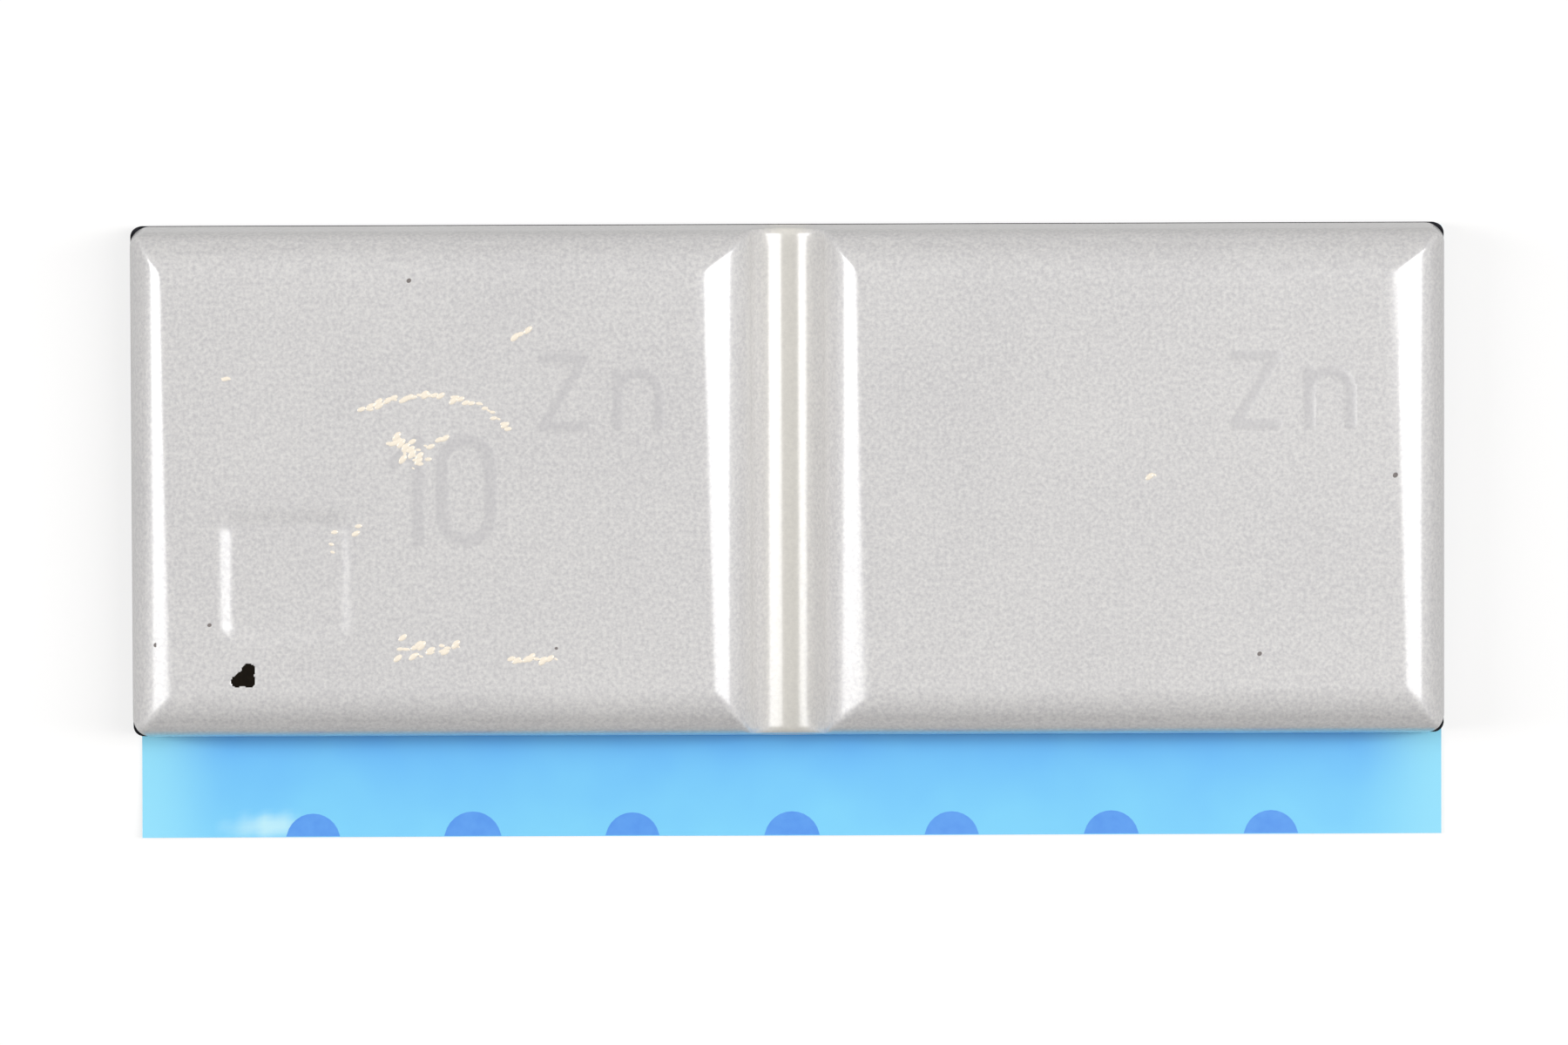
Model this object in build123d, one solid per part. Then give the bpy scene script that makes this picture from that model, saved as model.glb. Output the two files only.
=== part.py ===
from build123d import *
import os
from math import cos, radians, tan

# Driving dimensions, in millimetres and degrees

# Zinc casting: equal segments in a row, joined by thin webs
segment_count = 2
segment_pitch = 19.25
casting_width = 15.0
casting_thickness = 2.75
# lean of the outer walls, so that the casting leaves its die
outer_draft = 5.0
# soft round along every top edge
crown_radius = 1.4
# upright corners, seen from above
corner_radius = 0.6
# foot of the outer walls, where the coat wraps under
foot_radius = 0.2

# Break groove between two segments
web_thickness = 0.8
groove_draft = 14.0
groove_floor_radius = 1.0
groove_floor_flat = 0.15
# soft round where the groove runs out through the long walls
web_edge_radius = 0.25

# Foam tape, with its edges a hair inside the casting's foot before that is rounded
tape_thickness = 0.8
tape_setback = 0.02
# tighter than the casting's corners, so that the tape shows past them
tape_corner_radius = 0.3

# Release liner: covers the tape's lower face and stands out along the front as a pull tab
liner_thickness = 0.1
liner_tab = 3.05
liner_left_setback = 0.2
liner_right_setback = 0.02
liner_back_setback = 0.1

# Share of a wall that its rounds may use up, so that a flat strip always stays between them
wall_share = 0.98
# An edge counts as lying at a height when it is this close to it
level_tolerance = 0.001

# Worked-out sizes
casting_length = segment_count * segment_pitch
tape_length = casting_length - 2 * tape_setback
tape_width = casting_width - 2 * tape_setback
casting_foot = liner_thickness + tape_thickness

# The groove's walls turn by this angle into its floor and into the segment tops
groove_turn = 90 - groove_draft
tangent_per_radius = tan(radians(groove_turn / 2))
groove_depth = casting_thickness - web_thickness
groove_wall = groove_depth / cos(radians(groove_draft))
groove_floor_width = groove_floor_flat + 2 * groove_floor_radius * tangent_per_radius
crown_room = wall_share * groove_wall / tangent_per_radius - groove_floor_radius
crown = min(crown_radius, crown_room)


def side_section(base):
    """The casting seen from one side before any rounding: flat foot, leaning walls, flat top."""
    return Trapezoid(base, casting_thickness, 90 - outer_draft, align=(Align.CENTER, Align.MIN))


def groove_section():
    """The break groove, widening from its floor up to the segment tops and past them."""
    height = 2 * groove_depth
    mouth = groove_floor_width + 2 * height * tan(radians(groove_draft))
    return Trapezoid(mouth, height, 90 + groove_draft, align=(Align.CENTER, Align.MIN))


def groove_places():
    """Where along the row the grooves are, from the left."""
    return [joint * segment_pitch - casting_length / 2 for joint in range(1, segment_count)]


def segment_row_section():
    """The row of segments seen from the front, with a groove at each joint."""
    section = side_section(casting_length)
    for place in groove_places():
        section -= Pos(place, web_thickness) * groove_section()
    return section


def rounded_bar(bar, run):
    """A bar of one section with the edges along its run rounded: foot, groove floors and crowns."""
    for height, radius in (
        (0, foot_radius),
        (web_thickness, groove_floor_radius),
        (casting_thickness, crown),
    ):
        low, high = height - level_tolerance, height + level_tolerance
        edges = bar.edges().filter_by(run).filter_by_position(Axis.Z, low, high)
        if edges:
            bar = fillet(edges, radius)
    return bar


def web_edges(body, place):
    """The edges along which one groove's floor meets the two long walls."""
    reach = groove_floor_width / 2
    low, high = web_thickness - level_tolerance, web_thickness + groove_floor_radius
    floor = body.edges().filter_by_position(Axis.X, place - reach, place + reach)
    return floor.filter_by_position(Axis.Z, low, high).filter_by(Axis.Y, reverse=True)


def zinc_casting():
    """Two rounded bars crossed, so that the soft top edges meet in mitres at the corners."""
    along = rounded_bar(extrude(Plane.XZ * segment_row_section(), casting_width, both=True), Axis.Y)
    across = rounded_bar(extrude(Plane.YZ * side_section(casting_width), casting_length, both=True), Axis.X)
    outline = RectangleRounded(casting_length, casting_width, corner_radius)
    upright = extrude(outline, casting_thickness, taper=outer_draft)
    body = along & across & upright
    for place in groove_places():
        body = fillet(web_edges(body, place), web_edge_radius)
    return Pos(0, 0, casting_foot) * body


def foam_tape():
    """The tape as it is die-cut, with small round corners."""
    strip = RectangleRounded(tape_length, tape_width, tape_corner_radius)
    return Pos(0, 0, liner_thickness) * extrude(strip, tape_thickness)


def release_liner():
    """The film under the tape, short of the tape at both ends and the back, with its tab at the front."""
    length = tape_length - liner_left_setback - liner_right_setback
    width = tape_width - liner_back_setback + liner_tab
    middle_x = (liner_left_setback - liner_right_setback) / 2
    middle_y = -(liner_back_setback + liner_tab) / 2
    return extrude(Pos(middle_x, middle_y) * Rectangle(length, width), liner_thickness)


os.makedirs("parts", exist_ok=True)
for make_piece in (zinc_casting, foam_tape, release_liner):
    export_step(make_piece(), f"parts/{make_piece.__name__}.step")
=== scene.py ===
"""Dressed model of a stick-on wheel balance weight: enamelled zinc casting, foam tape and release film."""
import logging
import math
import random
from dataclasses import dataclass
from enum import Enum

import bpy
import numpy as np
from mathutils import Matrix, Vector, noise


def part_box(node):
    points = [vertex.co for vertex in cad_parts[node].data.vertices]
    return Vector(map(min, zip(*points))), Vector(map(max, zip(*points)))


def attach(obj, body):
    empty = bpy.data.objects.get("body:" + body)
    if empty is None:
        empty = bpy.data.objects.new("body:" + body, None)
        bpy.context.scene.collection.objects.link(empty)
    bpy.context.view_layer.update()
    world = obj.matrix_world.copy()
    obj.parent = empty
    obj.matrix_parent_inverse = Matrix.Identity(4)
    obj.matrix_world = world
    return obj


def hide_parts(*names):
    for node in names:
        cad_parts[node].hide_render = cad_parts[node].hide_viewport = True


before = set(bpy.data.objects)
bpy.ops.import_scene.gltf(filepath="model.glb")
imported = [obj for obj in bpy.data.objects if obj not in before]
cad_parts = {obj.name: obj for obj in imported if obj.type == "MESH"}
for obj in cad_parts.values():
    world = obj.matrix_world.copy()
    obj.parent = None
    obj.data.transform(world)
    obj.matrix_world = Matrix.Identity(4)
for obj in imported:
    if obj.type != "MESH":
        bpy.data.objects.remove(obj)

LOG = logging.getLogger("balance_weight")
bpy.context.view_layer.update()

# Metres in a millimetre: sizes below are written in millimetres and degrees
MM = 0.001
# The part has no joints, so everything rides on its one body
BODY = "root"
# Edges that turn by more than this stay crisp
SHARP_ANGLE = math.radians(50.0)
# Height at which the flag of the figure one starts, as a share of the figure's height
FLAG_FOOT = 0.78

Point = tuple[float, float]
Stroke = list[Point]


class CadNode(Enum):
    """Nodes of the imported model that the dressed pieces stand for."""

    CASTING = "zinc_casting"
    TAPE = "foam_tape"
    LINER = "release_liner"


class Slot(Enum):
    """Material slots of the part's record."""

    ZINC = "coated_zinc"
    FOAM = "dark_foam"
    FILM = "blue_film"


class Face(Enum):
    """Face of the film that a field of dots is printed on, as the sign of its outward Z."""

    TOP = 1.0
    UNDERSIDE = -1.0


def linear(colour: str) -> tuple[float, float, float, float]:
    """Turns an sRGB hex colour to linear light.

    Args:
        colour: the colour as "#RRGGBB".

    Returns:
        Linear red, green, blue and an alpha of one.
    """
    parts = [int(colour[i:i + 2], 16) / 255.0 for i in (1, 3, 5)]
    red, green, blue = (c / 12.92 if c <= 0.04045 else ((c + 0.055) / 1.055) ** 2.4 for c in parts)
    return red, green, blue, 1.0


def per_size(size: float) -> float:
    """Texture scale at which one feature of a pattern measures size millimetres."""
    return 1.0 / (size * MM)


def add_node(tree: bpy.types.NodeTree, kind: str, inputs: dict | None = None, **settings) -> bpy.types.Node:
    """Adds a node with its settings, and sets or links its inputs.

    Args:
        tree: the node tree to add to.
        kind: the node's type name.
        inputs: input name or index, with the socket to link to it or the value to set.
        settings: the node's own properties.

    Returns:
        The new node.
    """
    node = tree.nodes.new(kind)
    for name, value in settings.items():
        setattr(node, name, value)
    for key, value in (inputs or {}).items():
        if isinstance(value, bpy.types.NodeSocket):
            tree.links.new(value, node.inputs[key])
        else:
            node.inputs[key].default_value = value
    return node


def new_material(name: str) -> tuple[bpy.types.Material, bpy.types.NodeTree]:
    """Makes a material with an empty node tree.

    Args:
        name: the material's name.

    Returns:
        The material and its tree.
    """
    material = bpy.data.materials.new(name)
    material.use_nodes = True
    material.node_tree.nodes.clear()
    return material, material.node_tree


def object_noise(tree: bpy.types.NodeTree, size: float, detail: float,
                 roughness: float = 0.5) -> bpy.types.NodeSocket:
    """Adds noise over the object's own coordinates.

    Args:
        tree: the material's tree.
        size: size of one feature of the noise in millimetres.
        detail: number of finer layers.
        roughness: strength of the finer layers.

    Returns:
        The socket of the noise, from 0 to 1.
    """
    place = add_node(tree, "ShaderNodeTexCoord").outputs["Object"]
    return add_node(tree, "ShaderNodeTexNoise", {
        "Vector": place, "Scale": per_size(size), "Detail": detail, "Roughness": roughness}).outputs["Fac"]


def stored(tree: bpy.types.NodeTree, name: str) -> bpy.types.NodeSocket:
    """Socket of a number that is stored on the mesh's points."""
    return add_node(tree, "ShaderNodeAttribute", attribute_name=name).outputs["Fac"]


def scaled(tree: bpy.types.NodeTree, value: bpy.types.NodeSocket,
           factor: float | bpy.types.NodeSocket) -> bpy.types.NodeSocket:
    """Socket of a value times a factor."""
    return add_node(tree, "ShaderNodeMath", {0: value, 1: factor}, operation="MULTIPLY").outputs[0]


def mix_colours(tree: bpy.types.NodeTree, share: bpy.types.NodeSocket, first: str | bpy.types.NodeSocket,
                second: str) -> bpy.types.NodeSocket:
    """Adds a mix of two colours.

    Args:
        tree: the material's tree.
        share: share of the second colour.
        first: the first colour, in hex or as a socket.
        second: the second colour, in hex.

    Returns:
        The socket of the mixed colour.
    """
    start = linear(first) if isinstance(first, str) else first
    return add_node(tree, "ShaderNodeMix", {
        "Factor": share, 6: start, 7: linear(second)}, data_type="RGBA").outputs[2]


def add_bump(tree: bpy.types.NodeTree, height: bpy.types.NodeSocket, size: float) -> bpy.types.NodeSocket:
    """Socket of the normal of a surface that a pattern raises by up to size millimetres."""
    return add_node(tree, "ShaderNodeBump", {
        "Height": height, "Strength": 1.0, "Distance": size * MM}).outputs["Normal"]


def add_surface(tree: bpy.types.NodeTree, inputs: dict) -> None:
    """Ends a material in a principled shader with the given inputs."""
    shader = add_node(tree, "ShaderNodeBsdfPrincipled", inputs)
    add_node(tree, "ShaderNodeOutputMaterial", {"Surface": shader.outputs[0]})


def add_inputs(tree: bpy.types.NodeTree, kind: str, *names: str) -> None:
    """Gives a node tree named inputs of one kind."""
    for name in names:
        tree.interface.new_socket(name, in_out="INPUT", socket_type=f"NodeSocket{kind}")


def smooth_step(value: np.ndarray, low: float, high: float) -> np.ndarray:
    """Rises smoothly from 0 at low to 1 at high.

    Args:
        value: where to evaluate the step.
        low: the value that gives 0.
        high: the value that gives 1, which may be below low.

    Returns:
        The step at each value.
    """
    share = np.clip((value - low) / (high - low), 0.0, 1.0)
    return share * share * (3.0 - 2.0 * share)


def soft_noise(x: np.ndarray, y: np.ndarray, size: float, seed: float) -> np.ndarray:
    """Smooth noise over a plan.

    Args:
        x: places along X in millimetres.
        y: places along Y in millimetres.
        size: size of one swell of the noise in millimetres.
        seed: height at which the noise is cut, which picks the pattern.

    Returns:
        Noise from about -1 to 1 at each place.
    """
    places = zip(x.ravel() / size, y.ravel() / size)
    return np.array([noise.noise((a, b, seed)) for a, b in places]).reshape(x.shape)


def graded_lines(start: float, end: float, fine_spans: list[tuple[Point, float]],
                 coarse: float) -> np.ndarray:
    """Spaces grid lines finely over the spans that carry detail and coarsely elsewhere.

    Args:
        start: place of the first line.
        end: place of the last line.
        fine_spans: low and high end of each span with detail, and the spacing within it.
        coarse: spacing elsewhere.

    Returns:
        Places of the lines, from start to end.
    """
    probes = np.linspace(start, end, 4001)
    step = np.full_like(probes, coarse)
    for (low, high), fine in fine_spans:
        within = (probes >= low) & (probes <= high)
        step[within] = np.minimum(step[within], fine)
    count = np.concatenate(([0.0], np.cumsum(np.diff(probes) / step[:-1])))
    return np.interp(np.linspace(0.0, count[-1], math.ceil(count[-1]) + 1), count, probes)


def distance_to_stroke(x: np.ndarray, y: np.ndarray, stroke: Stroke) -> np.ndarray:
    """Distance from each place to a line of straight runs.

    Args:
        x: places along X.
        y: places along Y.
        stroke: points of the line.

    Returns:
        Distance at each place.
    """
    nearest = np.full(x.shape, np.inf)
    for (ax, ay), (bx, by) in zip(stroke, stroke[1:]):
        run_x, run_y = bx - ax, by - ay
        share = np.clip(((x - ax) * run_x + (y - ay) * run_y) / (run_x ** 2 + run_y ** 2), 0.0, 1.0)
        nearest = np.minimum(nearest, np.hypot(x - ax - share * run_x, y - ay - share * run_y))
    return nearest


def grid_quads(across: int, along: int) -> np.ndarray:
    """Faces of a grid of points that are numbered along Y first.

    Args:
        across: number of points along X.
        along: number of points along Y.

    Returns:
        Four point numbers for each face, counter-clockwise seen from above.
    """
    number = np.arange(across * along).reshape(across, along)
    corners = (number[:-1, :-1], number[1:, :-1], number[1:, 1:], number[:-1, 1:])
    return np.stack([corner.ravel() for corner in corners], axis=1)


def mesh_piece(name: str, points: np.ndarray, faces: list, material: bpy.types.Material) -> bpy.types.Object:
    """Makes a smooth mesh object at the origin.

    Args:
        name: the object's name.
        points: its points in millimetres, one row each.
        faces: its faces as lists of point numbers.
        material: the finish of its surface.

    Returns:
        The new object, linked to the scene.
    """
    mesh = bpy.data.meshes.new(name)
    mesh.from_pydata((points * MM).tolist(), [], faces)
    mesh.shade_smooth()
    mesh.materials.append(material)
    mesh.update()
    piece = bpy.data.objects.new(name, mesh)
    bpy.context.scene.collection.objects.link(piece)
    return piece


def add_attribute(piece: bpy.types.Object, name: str, values: np.ndarray) -> None:
    """Stores one number for each point of a piece.

    Args:
        piece: the object to mark.
        name: the attribute's name, which its material reads.
        values: one number for each point.
    """
    attribute = piece.data.attributes.new(name, "FLOAT", "POINT")
    attribute.data.foreach_set("value", values.astype(np.float32))


def grow(piece: bpy.types.Object, tree: bpy.types.NodeTree, inputs: dict) -> None:
    """Runs a geometry node tree on a piece and keeps the result as its plain mesh.

    Args:
        piece: the object whose mesh is the tree's input.
        tree: the node tree.
        inputs: value of each of the tree's inputs, by name.
    """
    modifier = piece.modifiers.new(tree.name, "NODES")
    modifier.node_group = tree
    for item in tree.interface.items_tree:
        if item.in_out == "INPUT" and item.name in inputs:
            modifier[item.identifier] = inputs[item.name]
    evaluated = piece.evaluated_get(bpy.context.evaluated_depsgraph_get())
    mesh = bpy.data.meshes.new_from_object(evaluated)
    piece.modifiers.clear()
    mesh.name = piece.name
    piece.data = mesh


def settle(piece: bpy.types.Object, slot: Slot, *nodes: CadNode) -> None:
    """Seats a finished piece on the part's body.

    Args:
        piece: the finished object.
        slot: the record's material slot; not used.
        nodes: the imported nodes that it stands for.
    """
    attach(piece, BODY)
    if nodes:
        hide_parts(*(node.value for node in nodes))
    triangles = sum(len(face.vertices) - 2 for face in piece.data.polygons)
    LOG.info("%s: %d triangles", piece.name, triangles)


@dataclass(frozen=True)
class GlossEnamel:
    """Silver-grey stoved enamel on die-cast zinc.

    It flows out glassy: sharp reflections over a pale, finely flecked grey, with a faint orange peel.
    It is a little greyer over raised strokes, and its groove's floor is painted paler, a painted light that
    offsets the groove's shade.
    """

    colour: str = "#E4E2E0"
    fleck: str = "#CAC8C9"
    # grey laid over the raised strokes, full on their tops
    thin: str = "#BBB9BC"
    stroke_grey_share: float = 0.36
    # painted light: paler tone on the groove's floor, offsetting the shade there
    groove_light_colour: str = "#FAF6EA"
    groove_light_share: float = 0.6
    fleck_size: float = 0.11
    # spread of the noise about its middle that goes from one tone to the other
    fleck_spread: float = 0.2
    fleck_roughness: float = 0.6
    cloud_size: float = 4.0
    cloud_share: float = 0.14
    peel_size: float = 0.9
    peel_height: float = 0.0016
    roughness: float = 0.32
    coat_roughness: float = 0.2
    coat_ior: float = 1.6

    def material(self) -> bpy.types.Material:
        """Builds the enamel's nodes and returns the material."""
        material, tree = new_material("stoved_enamel_on_zinc")
        fleck = object_noise(tree, self.fleck_size, 2.0, self.fleck_roughness)
        cloud = object_noise(tree, self.cloud_size, 1.0)
        share = add_node(tree, "ShaderNodeMath", {
            0: cloud, 1: self.cloud_share, 2: fleck}, operation="MULTIPLY_ADD")
        middle = 0.5 + self.cloud_share / 2.0
        flecked = add_node(tree, "ShaderNodeMapRange", {
            "Value": share.outputs[0], "From Min": middle - self.fleck_spread,
            "From Max": middle + self.fleck_spread})
        paint = mix_colours(tree, flecked.outputs["Result"], self.fleck, self.colour)
        # painted light on the groove's floor
        paint = mix_colours(tree, scaled(tree, stored(tree, "groove_light"), self.groove_light_share), paint, self.groove_light_colour)
        # greyer over the raised strokes
        paint = mix_colours(tree, scaled(tree, stored(tree, "thin"), self.stroke_grey_share), paint, self.thin)
        normal = add_bump(tree, object_noise(tree, self.peel_size, 1.0), self.peel_height)
        add_surface(tree, {
            "Base Color": paint, "Roughness": self.roughness, "Coat Weight": 1.0,
            "Coat Roughness": self.coat_roughness, "Coat IOR": self.coat_ior,
            "Normal": normal, "Coat Normal": normal})
        return material


@dataclass(frozen=True)
class BareZinc:
    """Tarnished die-cast zinc at the bottom of a chip, or dirt on the enamel: rough, mottled and dull."""

    name: str = "tarnished_zinc"
    dirt: str = "#080502"
    metal: str = "#1C150C"
    grain_size: float = 0.12
    roughness: float = 0.8
    gleam: float = 0.1

    def material(self) -> bpy.types.Material:
        """Builds the bare metal's nodes and returns the material."""
        material, tree = new_material(self.name)
        colour = mix_colours(tree, object_noise(tree, self.grain_size, 3.0), self.dirt, self.metal)
        add_surface(tree, {
            "Base Color": colour, "Roughness": self.roughness, "Specular IOR Level": self.gleam})
        return material


@dataclass(frozen=True)
class LacquerDrop:
    """Stoving lacquer drawn up into tiny drops: their domes catch the lamps, and their pale straw colour is a
    painted highlight for warm glints.
    """

    # painted highlight: near-white straw for warm glints
    colour: str = "#FFF4E2"
    roughness: float = 0.12

    def material(self) -> bpy.types.Material:
        """Builds the drops' nodes and returns the material."""
        material, tree = new_material("painted_glint_lacquer")
        add_surface(tree, {"Base Color": linear(self.colour), "Roughness": self.roughness})
        return material


@dataclass(frozen=True)
class CutFoam:
    """Charcoal foam of a double-sided mounting tape, cut with a blade.

    The cut opens its cells, so the edge is matt and pitted.
    """

    wall: str = "#3A3A40"
    cell: str = "#1A1A1D"
    cell_size: float = 0.13
    pit_height: float = 0.02
    roughness: float = 0.9
    gleam: float = 0.05

    def material(self) -> bpy.types.Material:
        """Builds the foam's nodes and returns the material."""
        material, tree = new_material("closed_cell_foam_charcoal")
        place = add_node(tree, "ShaderNodeTexCoord").outputs["Object"]
        cells = add_node(tree, "ShaderNodeTexVoronoi", {
            "Vector": place, "Scale": per_size(self.cell_size)})
        colour = mix_colours(tree, cells.outputs["Distance"], self.cell, self.wall)
        add_surface(tree, {
            "Base Color": colour, "Roughness": self.roughness, "Specular IOR Level": self.gleam,
            "Normal": add_bump(tree, cells.outputs["Distance"], self.pit_height)})
        return material


@dataclass(frozen=True)
class ReleaseFilm:
    """Blue silicone-coated polythene film, cast and slit.

    It is smooth and waxy-glossy. Its colour carries painted shade, deep blue beside the tape where the
    casting shades it, painted reflection, paler towards its cut ends, and a painted sheen at the free edge.
    """

    # painted shade: the film's tone beside the tape, where the casting shades it
    shaded_blue: str = "#58A6FF"
    mid: str = "#84D8FF"
    # painted reflection: the paler tone towards the film's cut ends
    pale: str = "#98E4FF"
    # painted sheen's colour at the film's free edge
    tint: str = "#C4F2FF"
    cloud_size: float = 2.6
    # how far the clouds push the tone either way
    cloud_drift: float = 0.2
    crease_size: float = 1.6
    crease_height: float = 0.004
    roughness: float = 0.24

    def material(self) -> bpy.types.Material:
        """Builds the film's nodes and returns the material."""
        material, tree = new_material("blue_polythene_film")
        drift = add_node(tree, "ShaderNodeMapRange", {
            "Value": object_noise(tree, self.cloud_size, 2.0),
            "To Min": -self.cloud_drift, "To Max": self.cloud_drift})
        # painted shade beside the tape, fading out along the reach
        depth = add_node(tree, "ShaderNodeMath", {
            0: stored(tree, "reach"), 1: drift.outputs["Result"]}, operation="ADD", use_clamp=True)
        colour = mix_colours(tree, depth.outputs[0], self.shaded_blue, self.mid)
        # painted reflection paling the film towards its cut ends
        colour = mix_colours(tree, stored(tree, "rim"), colour, self.pale)
        # painted sheen at the free edge
        colour = mix_colours(tree, stored(tree, "painted_sheen"), colour, self.tint)
        crease = object_noise(tree, self.crease_size, 1.0)
        add_surface(tree, {
            "Base Color": colour, "Roughness": self.roughness,
            "Normal": add_bump(tree, crease, self.crease_height)})
        return material


@dataclass(frozen=True)
class BlueInk:
    """Flexographic ink on the film: a thin, slightly uneven layer of a deeper blue, with a satin sheen."""

    full: str = "#4F92EC"
    thin: str = "#66AAF6"
    density_size: float = 0.35
    roughness: float = 0.35

    def material(self) -> bpy.types.Material:
        """Builds the ink's nodes and returns the material."""
        material, tree = new_material("flexo_ink_blue")
        colour = mix_colours(tree, object_noise(tree, self.density_size, 2.0), self.full, self.thin)
        add_surface(tree, {"Base Color": colour, "Roughness": self.roughness})
        return material


@dataclass(frozen=True)
class WallSection:
    """Section of the casting's outer wall: rounded foot, leaning wall and crown.

    Insets count inwards from the wall's widest point, and heights from the casting's foot.
    """

    thickness: float
    lean_angle: float = 5.0
    crown: float = 1.4
    foot: float = 0.2
    wall_steps: int = 4
    crown_steps: int = 22

    @property
    def lean(self) -> float:
        """Lean of the wall in radians."""
        return math.radians(self.lean_angle)

    @property
    def wall_start(self) -> Point:
        """Inset and height at which the foot's round meets the wall."""
        return self.foot * (1.0 - math.cos(self.lean)), self.foot * (1.0 + math.sin(self.lean))

    @property
    def crown_start(self) -> Point:
        """Inset and height at which the wall meets the crown."""
        inset, height = self.wall_start
        top = self.thickness - self.crown * (1.0 - math.sin(self.lean))
        return inset + (top - height) * math.tan(self.lean), top

    @property
    def crown_end(self) -> float:
        """Inset at which the crown runs into the flat top."""
        return self.crown_start[0] + self.crown * math.cos(self.lean)

    def wall_height(self, inset: np.ndarray) -> np.ndarray:
        """Height of the foot's round and of the wall drawn on past the crown.

        Args:
            inset: insets from the widest point.

        Returns:
            Height at each inset.
        """
        start, height = self.wall_start
        arc = self.foot + np.sqrt(np.clip(self.foot ** 2 - (self.foot - inset) ** 2, 0.0, None))
        return np.where(inset < start, arc, height + (inset - start) / math.tan(self.lean))

    def height(self, inset: np.ndarray) -> np.ndarray:
        """Height of the whole section.

        Args:
            inset: insets from the widest point.

        Returns:
            Height at each inset.
        """
        fall = np.clip(self.crown_end - inset, 0.0, self.crown)
        crown = self.thickness - self.crown + np.sqrt(self.crown ** 2 - fall ** 2)
        return np.where(inset < self.crown_start[0], self.wall_height(inset), crown)

    def lines(self) -> np.ndarray:
        """Insets of the grid lines that follow the section."""
        wall = np.linspace(self.wall_start[0], self.crown_start[0], self.wall_steps + 1)
        turn = np.linspace(self.lean, math.pi / 2.0, self.crown_steps + 1)[1:]
        return np.concatenate(([0.0], wall, self.crown_end - self.crown * np.cos(turn)))


@dataclass(frozen=True)
class GrooveSection:
    """Section of half the break groove: flat and round of its floor, wall and crown.

    Offsets count from the groove's middle, and heights from the casting's foot.
    """

    thickness: float
    web: float = 0.8
    floor_flat: float = 0.15
    floor_radius: float = 1.0
    lean_angle: float = 14.0
    crown: float = 1.4
    floor_steps: int = 18
    wall_steps: int = 2
    crown_steps: int = 22

    @property
    def rise(self) -> float:
        """Slope angle of the groove's wall in radians."""
        return math.radians(90.0 - self.lean_angle)

    @property
    def wall_start(self) -> Point:
        """Offset and height at which the floor's round meets the wall."""
        return (self.floor_flat / 2.0 + self.floor_radius * math.sin(self.rise),
                self.web + self.floor_radius * (1.0 - math.cos(self.rise)))

    @property
    def crown_start(self) -> Point:
        """Offset and height at which the wall meets the crown."""
        offset, height = self.wall_start
        top = self.thickness - self.crown * (1.0 - math.cos(self.rise))
        return offset + (top - height) / math.tan(self.rise), top

    @property
    def mouth(self) -> float:
        """Offset at which the crown runs into the flat top."""
        return self.crown_start[0] + self.crown * math.sin(self.rise)

    def height(self, offset: np.ndarray) -> np.ndarray:
        """Height of the groove.

        Args:
            offset: offsets from its middle, all positive.

        Returns:
            Height at each offset.
        """
        out = np.clip(offset - self.floor_flat / 2.0, 0.0, self.floor_radius)
        floor = self.web + self.floor_radius - np.sqrt(self.floor_radius ** 2 - out ** 2)
        start, height = self.wall_start
        wall = height + (offset - start) * math.tan(self.rise)
        fall = np.clip(self.mouth - offset, 0.0, self.crown)
        crown = self.thickness - self.crown + np.sqrt(self.crown ** 2 - fall ** 2)
        return np.select([offset < start, offset < self.crown_start[0]], [floor, wall], crown)

    def lines(self) -> np.ndarray:
        """Offsets of the grid lines that follow the section, from its middle to its mouth."""
        up = np.linspace(0.0, self.rise, self.floor_steps + 1)
        wall = np.linspace(self.wall_start[0], self.crown_start[0], self.wall_steps + 1)[1:]
        turn = np.linspace(self.rise, 0.0, self.crown_steps + 1)[1:]
        floor = self.floor_flat / 2.0 + self.floor_radius * np.sin(up)
        return np.concatenate(([0.0], floor, wall, self.mouth - self.crown * np.sin(turn)))


class Glyph(Enum):
    """Raised figures and letters: the mass in grams, and the sign of the metal."""

    ONE = "1"
    ZERO = "0"
    CAPITAL_Z = "Z"
    SMALL_N = "n"

    def strokes(self, width: float, height: float) -> list[Stroke]:
        """Middle lines of the glyph's strokes, from its lower left corner.

        Args:
            width: width between the outer middle lines.
            height: height between them.

        Returns:
            One list of points for each stroke.
        """
        if self is Glyph.ONE:
            return [[(0.0, FLAG_FOOT * height), (width, height), (width, 0.0)]]
        if self is Glyph.CAPITAL_Z:
            return [[(0.0, height), (width, height), (0.0, 0.0), (width, 0.0)]]
        half = width / 2.0
        shoulder = height - half
        upper = [(half + half * math.cos(a), shoulder + half * math.sin(a)) for a in self.half_turn()]
        if self is Glyph.ZERO:
            lower = [(width - x, height - y) for x, y in upper]
            return [upper + lower + upper[:1]]
        arch = [(width - x, y) for x, y in upper]
        return [[(0.0, 0.0), (0.0, height)], arch + [(width, 0.0)]]

    @staticmethod
    def half_turn(steps: int = 14) -> list[float]:
        """Angles over half a turn, for the round ends of a stroke."""
        return [math.pi * k / steps for k in range(steps + 1)]


@dataclass(frozen=True)
class RaisedMark:
    """One raised figure or letter, with the lower left corner of its middle lines on the casting's top."""

    glyph: Glyph
    x: float
    y: float
    width: float
    height: float
    stroke: float

    def distance(self, x: np.ndarray, y: np.ndarray) -> np.ndarray:
        """Distance from each place to the edge of the nearest stroke, below zero within it.

        Args:
            x: places along X.
            y: places along Y.

        Returns:
            Distance at each place.
        """
        lines = self.glyph.strokes(self.width, self.height)
        nearest = [distance_to_stroke(x - self.x, y - self.y, line) for line in lines]
        return np.minimum.reduce(nearest) - self.stroke / 2.0


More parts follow.
